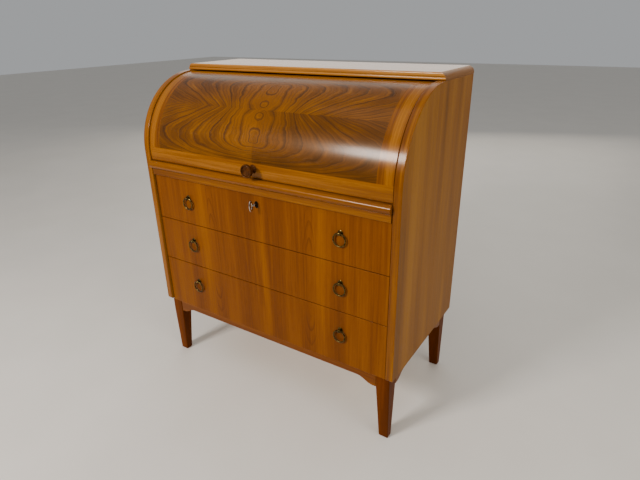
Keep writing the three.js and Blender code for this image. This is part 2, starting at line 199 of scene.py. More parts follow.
class Paint:
    """A Principled material, with the position on the desk as its x, y and z."""

    def __init__(self, name):
        self.material = bpy.data.materials.new(name)
        self.material.use_nodes = True
        self.tree = self.material.node_tree
        self.shader = self.tree.nodes["Principled BSDF"]
        place = self.tree.nodes.new("ShaderNodeTexCoord")
        split = self.tree.nodes.new("ShaderNodeSeparateXYZ")
        self.tree.links.new(place.outputs["Object"], split.inputs[0])
        self.x, self.y, self.z = (Number(self.tree, split.outputs[axis]) for axis in "XYZ")

    def noise(self, x, y, z, detail=3, roughness=0.5):
        """Soft noise from 0 to 1. Places come scaled: 100 times a metre makes 10 mm patches."""
        join = self.tree.nodes.new("ShaderNodeCombineXYZ")
        for port, value in zip(join.inputs, (x, y, z)):
            feed(self.tree, port, value)
        node = self.tree.nodes.new("ShaderNodeTexNoise")
        node.inputs["Scale"].default_value = 1
        node.inputs["Detail"].default_value = detail
        node.inputs["Roughness"].default_value = roughness
        self.tree.links.new(join.outputs[0], node.inputs["Vector"])
        return Number(self.tree, node.outputs["Fac"])

    def ramp(self, value, stops):
        """A colour by its place between the stops."""
        node = self.tree.nodes.new("ShaderNodeValToRGB")
        elements = node.color_ramp.elements
        while len(elements) < len(stops):
            elements.new(0.5)
        for element, (place, colour) in zip(elements, stops):
            element.position = place
            element.color = colour
        feed(self.tree, node.inputs[0], value)
        return node.outputs[0]

    def mix(self, factor, first, second):
        """The first colour at factor 0 and the second at 1."""
        node = self.tree.nodes.new("ShaderNodeMix")
        node.data_type = "RGBA"
        feed(self.tree, node.inputs[0], factor)
        feed(self.tree, node.inputs[6], first)
        feed(self.tree, node.inputs[7], second)
        return node.outputs[2]

    def finish(self, colour, roughness, height, depth, coat=0.0, coat_roughness=0.2, metallic=0.0,
               specular=0.5, tint=(1, 1, 1, 1)):
        """The material, with its height as bumps up to depth metres."""
        feed(self.tree, self.shader.inputs["Base Color"], colour)
        feed(self.tree, self.shader.inputs["Roughness"], roughness)
        self.shader.inputs["Metallic"].default_value = metallic
        self.shader.inputs["Specular IOR Level"].default_value = specular
        self.shader.inputs["Specular Tint"].default_value = tint
        self.shader.inputs["Coat Weight"].default_value = coat
        self.shader.inputs["Coat Roughness"].default_value = coat_roughness
        bump = self.tree.nodes.new("ShaderNodeBump")
        bump.inputs["Strength"].default_value = 1
        bump.inputs["Distance"].default_value = depth
        feed(self.tree, bump.inputs["Height"], height)
        self.tree.links.new(bump.outputs["Normal"], self.shader.inputs["Normal"])
        return self.material


# Wood ----------------------------------------------------------------------------------------

WARM_SHEEN = (1.0, 0.6, 0.3, 1)


def grain(paint, across, along, depth, stops, lines=None, line_colour=None, line_weight=0.6,
          lift=0.0, band=16.0, gloss=0.36, coat=0.03, specular=0.16, pore_depth=0.08 * MM):
    """Lengthwise grain: broad colour bands, fine streaks, short dark pores, and growth lines."""
    sway = (paint.noise(across * 5, along * 1.6, depth * 5, 2) - 0.5) * 0.012
    side = across + sway
    bands = paint.noise(side * band, along * 0.7, depth * band, 3, 0.5)
    streaks = paint.noise(side * 170, along * 4, depth * 170, 3, 0.6)
    fibres = paint.noise(side * 900, along * 24, depth * 900, 2, 0.6)
    tone = bands * 0.6 + streaks * 0.28 + fibres * 0.12 + lift
    colour = paint.ramp(tone, stops)
    pores = paint.noise(side * 1500, along * 55, depth * 1500, 1, 0.5).between(0.62, 0.74)
    height = fibres * 0.5 - pores
    if lines is not None:
        colour = paint.mix(lines * line_weight, colour, line_colour)
        height = height - lines * 0.4
    colour = paint.mix(pores * 0.3, colour, darker(stops[0][1], 0.35))
    roughness = streaks * 0.16 + (gloss - 0.08) + pores * 0.12
    return paint.finish(colour, roughness, height, pore_depth, coat=coat, coat_roughness=0.16,
                        specular=specular, tint=WARM_SHEEN)


def ring_lines(distance, spacing, wander, start):
    """Growth lines: each ring darkens from its start outwards and ends on a sharp edge."""
    phase = (distance / spacing + wander).math("FRACT")
    return phase.between(start, 0.97) * phase.between(0.985, 1.0).rest()


# Colours from the dark grain to the pale, each with its place on the ramp
TEAK = [(0.36, srgb(84, 39, 1)), (0.5, srgb(107, 55, 1)), (0.64, srgb(128, 72, 2))]
TEAK_DULL = [(0.37, srgb(106, 64, 12)), (0.5, srgb(129, 80, 16)), (0.61, srgb(146, 96, 22))]
TEAK_EDGE = [(0.38, srgb(88, 44, 1)), (0.5, srgb(115, 64, 2)), (0.63, srgb(142, 87, 8))]
TOP_FACE = [(0.3, srgb(124, 74, 22)), (0.5, srgb(150, 96, 36)), (0.7, srgb(170, 116, 52))]
# The top's moulded front: teak edge colour lightened by a painted highlight
TOP_EDGE_PAINTED_HIGHLIGHT = [(0.38, srgb(130, 76, 16)), (0.5, srgb(156, 100, 30)), (0.63, srgb(178, 124, 52))]
# The legs' teak, darkened as painted shade for the shadow under the desk; their own wood is near the carcass teak
LEG_TEAK_PAINTED_SHADE = [(0.34, srgb(66, 27, 1)), (0.5, srgb(85, 38, 1)), (0.66, srgb(106, 51, 2))]
FIGURE = [(0.32, srgb(64, 35, 2)), (0.47, srgb(89, 49, 2)), (0.6, srgb(112, 65, 4)),
          (0.74, srgb(134, 84, 12))]
PALE = [(0.3, srgb(168, 128, 80)), (0.5, srgb(204, 166, 112)), (0.7, srgb(222, 190, 138))]
WALNUT_TONES = [(0.3, srgb(38, 18, 3)), (0.5, srgb(64, 32, 6)), (0.7, srgb(92, 50, 12))]
FRONT_LINES = srgb(66, 26, 1)
PLAIN_LINES = srgb(90, 42, 4)
PITH_Z = 100 * MM  # height of the rings' middle in the boards that run left and right


def front_veneer():
    """Upright grain, book-matched at the middle, with a soft cathedral out at each side."""
    paint = Paint("teak_fronts")
    side = abs(paint.x - BOOK_JOINT_X)
    wobble = (paint.noise(side * 14, paint.z * 5, 0.0, 2) - 0.5) * 0.016
    crown = side - CROWN_OUT + wobble
    rise = (paint.z - CROWN_Z) * CROWN_STRETCH
    distance = (crown * crown + rise * rise).math("SQRT")
    wander = paint.noise(side * 20, paint.z * 3, 4.0, 3) * 1.1
    lines = ring_lines(distance, CROWN_RING, wander, 0.5)
    near = distance.between(0.018, 0.04).rest()
    near = near * abs(paint.z - CROWN_Z).between(0.085, 0.13)
    faint = paint.noise(side * 7, paint.z * 1.1, 9.0, 2).between(0.2, 0.42)
    flame = paint.noise(paint.x * 60, paint.z * 5, 8.0, 3).between(0.5, 0.72)
    flame = flame * abs(paint.x - FLAME_X).between(0.012, 0.034).rest()
    lines = (lines * near * faint).math("MAXIMUM", flame * 0.8)
    outer_leaf = side.between(OUTER_LEAF, OUTER_LEAF + 0.4 * MM)
    sap = abs(paint.x - SAPWOOD_X).between(0.008, 0.024).rest()
    sap = sap * paint.noise(paint.x * 90, paint.z * 4, 6.0, 3).between(0.3, 0.6) * 0.1
    return grain(paint, side, paint.z, paint.y + outer_leaf * 0.7, TEAK, lines, FRONT_LINES, 0.42,
                 lift=sap + outer_leaf * 0.04, gloss=0.4)


def side_veneer():
    """The outer sides: duller, with broad upright bands."""
    paint = Paint("teak_sides")
    return grain(paint, paint.y, paint.z, paint.x, TEAK_DULL, band=15, gloss=0.44, coat=0.0,
                 specular=0.14)


def along_x(name, stops, gloss=0.34, coat=0.12, spacing=16 * MM):
    """Grain running left and right, for rails, mouldings, aprons and boards."""
    paint = Paint(name)
    wander = paint.noise(paint.x * 1.2, paint.y * 12, paint.z * 12, 3) * 2.2
    level = paint.z - PITH_Z
    distance = (paint.y * paint.y * 0.6 + level * level).math("SQRT")
    lines = ring_lines(distance, spacing, wander, 0.5)
    return grain(paint, paint.z + paint.y * 0.7, paint.x, paint.y - paint.z * 0.7, stops, lines,
                 PLAIN_LINES, 0.3, gloss=gloss, coat=coat)


def along_y(name, stops):
    """Grain running front to back."""
    paint = Paint(name)
    return grain(paint, paint.x, paint.y, paint.z, stops)


def along_z(name, stops, gloss=0.36, coat=0.05, specular=0.16):
    """Upright grain in solid wood."""
    paint = Paint(name)
    return grain(paint, paint.x + paint.y * 0.4, paint.z, paint.y, stops, gloss=gloss, coat=coat,
                 specular=specular)


def round_pivot(paint):
    """Angle up from the front horizontal, and distance from the roll top's pivot line."""
    forward = (paint.y - PIVOT.y) * -1
    up = paint.z - PIVOT.z
    angle = up.math("ARCTAN2", forward)
    radius = (forward * forward + up * up).math("SQRT")
    return angle, radius


def edge_lipping():
    """Solid strips along the front edges of the sides, with their grain round the curve."""
    paint = Paint("teak_edges")
    forward = ((paint.y - PIVOT.y) * -1).math("MAXIMUM", 0.0)
    up = (paint.z - PIVOT.z).math("MAXIMUM", 0.0)
    turn = up.math("ARCTAN2", forward + 0.0001)
    radius = (forward * forward + up * up).math("SQRT")
    path = paint.z.math("MINIMUM", PIVOT.z) + turn * PANEL_R + paint.y.math("MAXIMUM", PIVOT.y)
    return grain(paint, paint.x, path, radius, TEAK_EDGE, gloss=0.3, coat=0.2, band=60)


def shell_border():
    """Crossbanding at the ends of the roll top, with its grain round the curve."""
    paint = Paint("roll_top_ends")
    angle, radius = round_pivot(paint)
    return grain(paint, abs(paint.x), angle * SHELL_R, radius, TEAK_EDGE, gloss=0.27, coat=0.24,
                 band=40)


def shell_along(name, stops, gloss, coat):
    """Grain running left and right over the roll top's curve."""
    paint = Paint(name)
    angle, radius = round_pivot(paint)
    return grain(paint, angle * SHELL_R, paint.x, radius, stops, gloss=gloss, coat=coat)


# The roll top's figure: how far its eyes and the knots between them are from the level joint,
# where the upright joint is, and half the width of a joint
EYE_RISE = 85 * MM
KNOT_RISE = 16 * MM
FOUR_WAY_X = -4 * MM
SEAM = 0.2 * MM
GOLDEN = srgb(130, 74, 3)
HAIR_LINE = srgb(66, 34, 3)
HALF_LINE = srgb(62, 33, 4)
RING_LINE = srgb(50, 27, 5)
FIGURE_PORE = srgb(44, 22, 4)


def figure(side, above):
    """Distance from an eye, and which growth ring a spot lies on; rings fan out along the joint."""
    share = (above / EYE_RISE).math("MINIMUM", 1.0)
    low = share.rest()
    fan = ((side - low * 0.046) / (low * 0.35 + share)).math("MAXIMUM", 0.0)
    over = (above - EYE_RISE).math("MAXIMUM", 0.0)
    under = (above * -1 + EYE_RISE).math("MAXIMUM", 0.0)
    reach = over * 1.5 + over * over * 52 + under * 0.6
    tip = (fan * fan * 0.7 + side * side * 0.3 + reach * reach).math("SQRT")
    from_knot = above - KNOT_RISE
    waist = side * side * 1500 + from_knot * from_knot * 3000
    knot = (waist * -1).math("EXPONENT") * 0.9
    return tip, tip / 0.070 + tip * 1.9 / (tip + 0.045) - knot


def shell_field():
    """Figured veneer matched four ways, with dark growth lines and a golden middle."""
    paint = Paint("roll_top_field")
    angle, _ = round_pivot(paint)
    rise = (angle - FIELD_MID) * SHELL_R
    across = abs(paint.x - FOUR_WAY_X)
    above = abs(rise)
    side = across + (paint.noise(across * 13, above * 20, 1.0, 1) - 0.5) * 0.026
    level = above + (paint.noise(across * 11, above * 18, 7.0, 1) - 0.5) * 0.015
    tip, rings = figure(side, level)
    rings = rings + paint.noise(across * 26, above * 60, 3.0, 2) * 0.3
    fade = paint.noise(across * 12, above * 12, 5.0, 2).between(0.25, 0.6)
    lines = ring_lines(rings, 1.0, 0.0, 0.76)
    halves = ring_lines(rings, 0.27, 0.2, 0.45)
    hairs = ring_lines(rings, 0.085, 0.1, 0.4)
    bands = paint.noise(rings * 2.2, side * 8, level * 8, 3, 0.55)
    fibres = paint.noise(rings * 26, side * 30, level * 30, 3, 0.65)
    clouds = paint.noise(paint.x * 7, rise * 11, 2.0, 2)
    right = paint.x.between(FOUR_WAY_X - SEAM, FOUR_WAY_X + SEAM)
    upper = rise.between(-SEAM, SEAM)
    shift = (right * -0.09 + 0.03) * (upper * -1.4 + 1) + upper * 0.03
    tone = bands * 0.46 + fibres * 0.2 + clouds * 0.34 + shift
    colour = paint.ramp(tone, FIGURE)
    golden = tip.between(0.03, 0.16).rest() * 0.35
    colour = paint.mix(golden, colour, GOLDEN)
    colour = paint.mix(hairs * 0.2, colour, HAIR_LINE)
    colour = paint.mix(halves * (fade * 0.36 + 0.12), colour, HALF_LINE)
    colour = paint.mix(lines * (fade * 0.34 + 0.44), colour, RING_LINE)
    pores = paint.noise(rings * 90, side * 60, level * 60, 1).between(0.62, 0.72)
    colour = paint.mix(pores * 0.2, colour, FIGURE_PORE)
    height = fibres * 0.4 - pores - lines * 0.3
    roughness = bands * 0.12 + 0.24 + pores * 0.1
    return paint.finish(colour, roughness, height, 0.06 * MM, coat=0.24, coat_roughness=0.18,
                        specular=0.16, tint=WARM_SHEEN)


def pale_wood(name, axis):
    """Plain pale lining wood, with its grain along one axis."""
    paint = Paint(name)
    x, y, z = paint.x, paint.y, paint.z
    across, along, depth = {"x": (z + y * 0.6, x, y - z), "y": (x + z * 0.6, y, z - x)}[axis]
    return grain(paint, across, along, depth, PALE, gloss=0.55, coat=0.0)


def hardboard():
    """Thin pressed back board, a little mottled and scuffed."""
    paint = Paint("back_board")
    mottle = paint.noise(paint.x * 22, paint.y * 22, paint.z * 22, 5, 0.6) * 0.5 + 0.25
    fleck = paint.noise(paint.x * 700, paint.y * 700, paint.z * 700, 3, 0.7)
    scuff = paint.noise(paint.x * 40, paint.y * 40, paint.z * 9, 4, 0.7).between(0.6, 0.75)
    stops = [(0.35, srgb(88, 60, 36)), (0.65, srgb(126, 92, 58))]
    colour = paint.ramp(mottle * 0.6 + fleck * 0.4, stops)
    colour = paint.mix(scuff * 0.25, colour, srgb(150, 120, 84))
    return paint.finish(colour, fleck * 0.2 + 0.6, fleck, 0.2 * MM)


def turned_wood():
    """Dark polished wood, its grain running out along the knob."""
    paint = Paint("turned_walnut")
    return grain(paint, paint.x * 2, paint.y, paint.z * 2, WALNUT_TONES, gloss=0.34, coat=0.08,
                 band=60, specular=0.12, pore_depth=0.04 * MM)


# Metal ---------------------------------------------------------------------------------------

def metal(name, dark, light, roughness, dirt):
    """Handled metal: tarnish gathers in soft patches and fine scratches catch the light."""
    paint = Paint(name)
    x, y, z = paint.x, paint.y, paint.z
    patches = paint.noise(x * 160, y * 160, z * 160, 4, 0.6)
    scratches = paint.noise(x * 900, y * 900, z * 2600, 2, 0.7)
    worn = (patches * 0.75 + scratches * 0.25).between(0.36, 0.62)
    colour = paint.mix(worn, dark, light)
    rough = worn * -dirt + roughness + dirt * 0.6 + scratches * 0.06
    height = patches * 0.7 + scratches * 0.3
    return paint.finish(colour, rough, height, 0.08 * MM, metallic=1.0)


def floor_surface():
    paint = Paint("studio_floor")
    cloud = paint.noise(paint.x * 3, paint.y * 3, paint.z, 3)
    colour = paint.mix(cloud, srgb(206, 200, 190), srgb(218, 212, 203))
    return paint.finish(colour, cloud * 0.1 + 0.45, cloud, 0.1 * MM)


FRONTS = front_veneer()
SIDES = side_veneer()
EDGES = edge_lipping()
RAILS = along_x("teak_rails", TEAK_EDGE, gloss=0.3, coat=0.2)
TOP = along_x("teak_top", TOP_FACE, gloss=0.3, coat=0.5, spacing=24 * MM)
# The top board's moulded front, its colour lightened as a painted highlight
TOP_FRONT_PAINTED_HIGHLIGHT = along_x("teak_top_edge_painted_highlight", TOP_EDGE_PAINTED_HIGHLIGHT, gloss=0.26, coat=0.5)
BOARD = along_x("teak_writing_board", TEAK, gloss=0.38, coat=0.05, spacing=30 * MM)
END_GRAIN = along_y("teak_top_ends", TEAK_DULL)
APRONS = along_x("teak_aprons", TEAK)
CROSS = along_y("teak_side_aprons", TEAK)
INSIDES = along_z("teak_insides", TEAK_DULL, gloss=0.42, coat=0.1)
# Legs in painted shade: their colours are darkened for the shadow under the desk
LEGS_PAINTED_SHADE = along_z("dark_legs", LEG_TEAK_PAINTED_SHADE, gloss=0.46, coat=0.0, specular=0.08)
FIELD = shell_field()
BORDER = shell_border()
SHELL_RAIL = shell_along("roll_top_rails", TEAK_EDGE, 0.27, 0.24)
SHELL_LINING = shell_along("roll_top_lining", TEAK_DULL, 0.42, 0.05)
LINING_X = pale_wood("lining_across", "x")
LINING_Y = pale_wood("lining_lengthwise", "y")
BACKBOARD = hardboard()
WALNUT = turned_wood()
BRASS = metal("antique_brass", srgb(30, 24, 10), srgb(104, 84, 42), 0.3, 0.14)
STEEL = metal("bright_steel", srgb(112, 108, 98), srgb(206, 202, 190), 0.2, 0.12)
# Near-black metal for the keyhole plate: its colour is painted shade in and round the keyhole
KEYHOLE_PAINTED_SHADE = metal("keyhole_painted_shade", srgb(20, 16, 12), srgb(36, 28, 20), 0.5, 0.1)


# Mesh building -------------------------------------------------------------------------------

def arc(ca, cb, radius, start, end, steps):
    """Points along an arc with its middle at (ca, cb), angles in radians."""
    angles = [start + (end - start) * i / steps for i in range(steps + 1)]
    return [(ca + radius * math.cos(turn), cb + radius * math.sin(turn)) for turn in angles]


def ellipse(ca, cb, ra, rb, steps):
    """Points round an ellipse with its middle at (ca, cb) and its half widths ra and rb."""
    turns = [2 * math.pi * i / steps for i in range(steps)]
    return [(ca + ra * math.cos(turn), cb + rb * math.sin(turn)) for turn in turns]


def prism(outline, axis, low, high):
    """A closed outline drawn across one axis, carried from low to high along it."""
    place = {
        "x": lambda a, b, c: (c, a, b),
        "y": lambda a, b, c: (a, c, b),
        "z": lambda a, b, c: (a, b, c),
    }[axis]
    mesh = bmesh.new()
    ends = [[mesh.verts.new(place(a, b, c)) for a, b in outline] for c in (low, high)]
    count = len(outline)
    mesh.faces.new(ends[0][::-1])
    mesh.faces.new(ends[1])
    for i in range(count):
        j = (i + 1) % count
        mesh.faces.new((ends[0][i], ends[0][j], ends[1][j], ends[1][i]))
    bmesh.ops.recalc_face_normals(mesh, faces=mesh.faces)
    return mesh


def box_outline(a0, a1, b0, b1):
    """A rectangle's corners, in order."""
    return [(a0, b0), (a1, b0), (a1, b1), (a0, b1)]


def from_node(node):
    """A CAD node's mesh with its flat faces whole again."""
    mesh = bmesh.new()
    mesh.from_mesh(frame["nodes"][node].data)
    bmesh.ops.remove_doubles(mesh, verts=mesh.verts, dist=0.001 * MM)
    bmesh.ops.dissolve_limit(
        mesh, angle_limit=math.radians(0.5), verts=mesh.verts, edges=mesh.edges,
    )
    return mesh


def soften(mesh, width, segments=3, angle=30):
    """Round over every edge sharper than the angle."""
    sharp = [e for e in mesh.edges if e.is_manifold and e.calc_face_angle(0) > math.radians(angle)]
    bmesh.ops.bevel(mesh, geom=sharp, offset=width, segments=segments, profile=0.5,
                    affect="EDGES", clamp_overlap=True)
    return mesh


def to_object(name, mesh, materials, choose=None, crease=35):
    """Finished object: smooth shading that breaks at the crease angle, faces in their materials."""
    data = bpy.data.meshes.new(name)
    bmesh.ops.recalc_face_normals(mesh, faces=mesh.faces)
    for face in mesh.faces:
        face.smooth = True
        face.material_index = choose(face) if choose else 0
    for edge in mesh.edges:
        if edge.is_manifold and edge.calc_face_angle(0) > math.radians(crease):
            edge.smooth = False
    mesh.to_mesh(data)
    mesh.free()
    for material in materials:
        data.materials.append(material)
    piece = bpy.data.objects.new(name, data)
    bpy.context.scene.collection.objects.link(piece)
    weighted = piece.modifiers.new("weighted_normals", "WEIGHTED_NORMAL")
    weighted.keep_sharp = True
    return piece


def settle(piece, body, slot, *nodes):
    """The piece rides on its body and stands for the CAD nodes it replaces. Its slot is not used."""
    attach(piece, body)
    if nodes:
        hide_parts(*nodes)
    return piece


def body_of(node):
    """The body that a CAD node belongs to."""
    bodies = frame["record"]["behaviour"]["bodies"]
    return next(body for body, members in bodies.items() if node in members)


def eased(node, slot, material, width=1.2 * MM, segments=3):
    """A CAD node with its edges eased."""
    mesh = soften(from_node(node), width, segments)
    return settle(to_object(node + "_eased", mesh, [material]), body_of(node), slot, node)


def boolean(piece, tool, operation):
    """The mesh that one object leaves when another cuts or bounds it. Both objects go."""
    modifier = piece.modifiers.new("boolean", "BOOLEAN")
    modifier.operation = operation
    modifier.solver = "EXACT"
    modifier.object = tool
    graph = bpy.context.evaluated_depsgraph_get()
    result = bpy.data.meshes.new_from_object(piece.evaluated_get(graph))
    shaped = bmesh.new()
    shaped.from_mesh(result)
    for thing in (piece, tool):
        bpy.data.objects.remove(thing)
    return shaped


def loose(name, mesh):
    """A plain object for boolean() to use up."""
    data = bpy.data.meshes.new(name)
    mesh.to_mesh(data)
    mesh.free()
    piece = bpy.data.objects.new(name, data)
    bpy.context.scene.collection.objects.link(piece)
    return piece


def add_to(whole, part):
    """Put a part's mesh into a larger one."""
    data = bpy.data.meshes.new("part")
    part.to_mesh(data)
    part.free()
    whole.from_mesh(data)
    bpy.data.meshes.remove(data)


def lathe_front(profile, centre, steps=56):
    """A turned shape facing the front: profile pairs are radius and distance forward."""
    mesh = bmesh.new()
    rings = []
    for radius, out in profile:
        if radius == 0:
            rings.append([mesh.verts.new((centre.x, centre.y - out, centre.z))])
            continue
        ring = []
        for i in range(steps):
            turn = 2 * math.pi * i / steps
            ring.append(mesh.verts.new((
                centre.x + radius * math.cos(turn),
                centre.y - out,
                centre.z + radius * math.sin(turn),
            )))
        rings.append(ring)
    for low, high in zip(rings, rings[1:]):
        for i in range(steps):
            j = (i + 1) % steps
            quad = [ring[k % len(ring)] for ring, k in ((low, i), (low, j), (high, j), (high, i))]
            corners = list(dict.fromkeys(quad))
            if len(corners) > 2:
                mesh.faces.new(corners)
    return mesh


def in_metres(profile):
    """A profile's pairs, from millimetres."""
    return [(radius * MM, out * MM) for radius, out in profile]


def smooth_profile(points, rounds=2):
    """Corner-cutting on an open profile, keeping its two ends."""
    for _ in range(rounds):
        cut = [points[0]]
        for (r0, d0), (r1, d1) in zip(points, points[1:]):
            cut.append((r0 * 0.75 + r1 * 0.25, d0 * 0.75 + d1 * 0.25))
            cut.append((r0 * 0.25 + r1 * 0.75, d0 * 0.25 + d1 * 0.75))
        cut.append(points[-1])
        points = cut
    return points


# Carcass -------------------------------------------------------------------------------------

def panel_outline():
    """Side panel: straight front, quarter-round shoulder, flat top, straight back."""
    foot = 6 * MM
    low = PANEL_LOW.z
    top = PANEL_HIGH.z
    shoulder_z = top - PANEL_R
    outline = [(BACK, low), (BACK, top)]
    outline += arc(PIVOT.y, shoulder_z, PANEL_R, math.pi / 2, math.pi, 56)
    outline += arc(FRONT + foot, low + foot, foot, math.pi, 1.5 * math.pi, 6)
    return outline


def panel_material(face):
    """0 the veneered sides, 1 the lipped front and top, 2 the back edge."""
    if abs(face.normal.x) > 0.98:
        return 0
    return 2 if face.normal.y > 0.5 else 1


for side, sign in (("left", -1), ("right", 1)):
    span = sorted((sign * INNER, sign * HALF))
    panel = soften(prism(panel_outline(), "x", *span), 2.2 * MM, 4, 40)
    panel = to_object("side_" + side, panel, [SIDES, EDGES, INSIDES], panel_material)
    settle(panel, "carcass", "teak_carcass", "side_panel_" + side)


def top_board():
    """Board with rounded-over ends and a front edge of flat, quirk and bead."""
    low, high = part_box("top_board")
    end_r = 18 * MM
    ends = [(-HALF, low.z), (HALF, low.z)]
    ends += arc(HALF - end_r, high.z - end_r, end_r, 0, math.pi / 2, 14)
    ends += arc(-HALF + end_r, high.z - end_r, end_r, math.pi / 2, math.pi, 14)
    nose = 4 * MM
    bead = 4.6 * MM
    quirk = low.z + 2 * bead
    front = PIVOT.y
    edge = [(high.y, low.z), (high.y, high.z)]
    edge += arc(front + nose, high.z - nose, nose, math.pi / 2, math.pi, 8)
    edge += [(front, quirk + 0.8 * MM), (front + 0.5 * MM, quirk + 0.2 * MM)]
    edge += arc(front + bead - 1 * MM, low.z + bead, bead, 0.6 * math.pi, 1.5 * math.pi, 14)
    along = loose("top_ends", prism(ends, "y", low.y - PAST, high.y))
    across = loose("top_edge", prism(edge, "x", -HALF - PAST, HALF + PAST))
    return boolean(along, across, "INTERSECT")


def board_material(face):
    """0 the top and underside, 1 the moulded front, 2 the rounded ends."""
    if face.normal.y < -0.3:
        return 1
    return 2 if abs(face.normal.x) > 0.25 else 0


board = to_object("top_board_moulded", top_board(), [TOP, TOP_FRONT_PAINTED_HIGHLIGHT, END_GRAIN], board_material, 32)
settle(board, "carcass", "teak_carcass", "top_board")

eased("back_panel", "back_board", BACKBOARD, 0.6 * MM, 2)
eased("bottom_board", "drawer_linings", LINING_X)


def bolt_mortise():
    """Hole in the rail that the lock's bolt rises into."""
    low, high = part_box("lock_bolt")
    clear = 1 * MM
    throw = JOINTS["lock_bolt_throw"]["range_m"][1]
    outline = box_outline(low.x - clear, high.x + clear, low.z, high.z + throw + clear)
    return prism(outline, "y", low.y - clear, high.y + clear)


def rail_face():
    """Rail whose face stops short of the sides, leaving a thin dark gap at each end."""
    low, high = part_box("front_rail")
    gap = 2.6 * MM
    left, right = low.x + gap, high.x - gap
    shoulder = low.y + 14 * MM
    outline = [
        (low.x, high.y), (low.x, shoulder), (left, shoulder), (left, low.y),
        (right, low.y), (right, shoulder), (high.x, shoulder), (high.x, high.y),
    ]
    blank = soften(prism(outline, "z", low.z + 0.8 * MM, high.z), 1.3 * MM)
    return boolean(loose("rail_blank", blank), loose("mortise", bolt_mortise()), "DIFFERENCE")


rail = to_object("front_rail_stepped", rail_face(), [RAILS])
settle(rail, "carcass", "teak_carcass", "front_rail")


BRACKET_DROP = 18 * MM
BRACKET_FLAT = 10 * MM
BRACKET_RUN = 52 * MM


def apron_outline(length, low, under, top):
    """Straight apron with its underside curving down to a flat bracket at each end."""
    half = length / 2
    steps = 14
    outline = [(half, top), (half, low)]
    for step in range(steps + 1):
        share = step / steps
        lift = (1 - math.cos(math.pi * share)) / 2
        outline.append((half - BRACKET_FLAT - BRACKET_RUN * share, low + (under - low) * lift))
    return outline + [(-a, b) for a, b in reversed(outline)]


def apron(node, axis, material):
    """An apron that runs along the front or back (across y) or along a side (across x)."""
    low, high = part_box(node)
    under = low.z + BRACKET_DROP
    if axis == "y":
        outline = apron_outline(high.x - low.x, low.z, under, high.z)
        mesh = prism(outline, "y", low.y, high.y)
    else:
        centre = (low.y + high.y) / 2
        outline = apron_outline(high.y - low.y, low.z, under, high.z)
        mesh = prism([(a + centre, b) for a, b in outline], "x", low.x, high.x)
    soften(mesh, 1.4 * MM, 3, 40)
    settle(to_object(node + "_shaped", mesh, [material]), "carcass", "teak_carcass", node)


apron("front_apron", "y", APRONS)
apron("back_apron", "y", APRONS)
apron("side_apron_left", "x", CROSS)
apron("side_apron_right", "x", CROSS)

for end in ("front", "back"):
    for side in ("left", "right"):
        eased(f"leg_{end}_{side}", "dark_legs", LEGS_PAINTED_SHADE, 3 * MM, 4)

for side in ("left", "right"):
    eased("runner_1_" + side, "drawer_linings", LINING_Y)
    eased("runner_2_" + side, "drawer_linings", LINING_Y)
    eased("slide_bearer_" + side, "drawer_linings", LINING_Y)
    eased("fitment_side_" + side, "teak_carcass", INSIDES, THIN_EASE)
    eased("fitment_divider_" + side, "teak_carcass", INSIDES, THIN_EASE)
    eased("fitment_shelf_" + side, "teak_carcass", RAILS, THIN_EASE)
eased("fitment_base", "teak_carcass", RAILS, THIN_EASE)
eased("fitment_top", "teak_carcass", RAILS, THIN_EASE)
eased("fitment_back", "back_board", BACKBOARD, FINE_EASE, 2)


def back_screws():
    """Small round-headed screws round the edge of the back panel."""
    low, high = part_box("back_panel")
    inset = 14 * MM
    columns = [low.x + inset + (high.x - low.x - 2 * inset) * i / 4 for i in range(5)]
    rows = [low.z + inset + (high.z - low.z - 2 * inset) * i / 4 for i in range(5)]
    spots = [(x, z) for x in columns for z in (rows[0], rows[-1])]
    spots += [(x, z) for x in (columns[0], columns[-1]) for z in rows[1:-1]]
    head = [(0, -1.5), (2.0, -1.3), (3.3, -0.7), (3.8, 0), (3.8, 0.8), (0, 0.8)]
    whole = bmesh.new()
    for x, z in spots:
        add_to(whole, lathe_front(in_metres(head), Vector((x, BACK, z)), 16))
    return whole


settle(to_object("back_screws", back_screws(), [BRASS]), "carcass", "antique_brass")


# Writing slide -------------------------------------------------------------------------------

def slide_lip():
    """Moulding with a half-round front."""
    low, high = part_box("slide_moulding")
    radius = (high.z - low.z) / 2
    middle = (high.z + low.z) / 2
    outline = [(high.y, low.z), (high.y, high.z)]
    outline += arc(low.y + radius, middle, radius, math.pi / 2, 1.5 * math.pi, 28)
    return soften(prism(outline, "x", low.x, high.x), 1.5 * MM, 3, 50)


lip = to_object("slide_bullnose", slide_lip(), [RAILS])
settle(lip, "writing_slide", "teak_carcass", "slide_moulding")
eased("writing_board", "teak_fronts", BOARD, THIN_EASE)


# Roll top ------------------------------------------------------------------------------------

def shell_rows():
    """Angles of the shell's rows, with one at each joint of the veneers."""
    rows = [SHELL_FROM, FIELD_FROM, FIELD_TO, SHELL_TO]
    angles = []
    for low, high in zip(rows, rows[1:]):
        steps = max(2, round((high - low) / math.radians(1.6)))
        angles += [low + (high - low) * i / steps for i in range(steps)]
    return angles + [SHELL_TO]


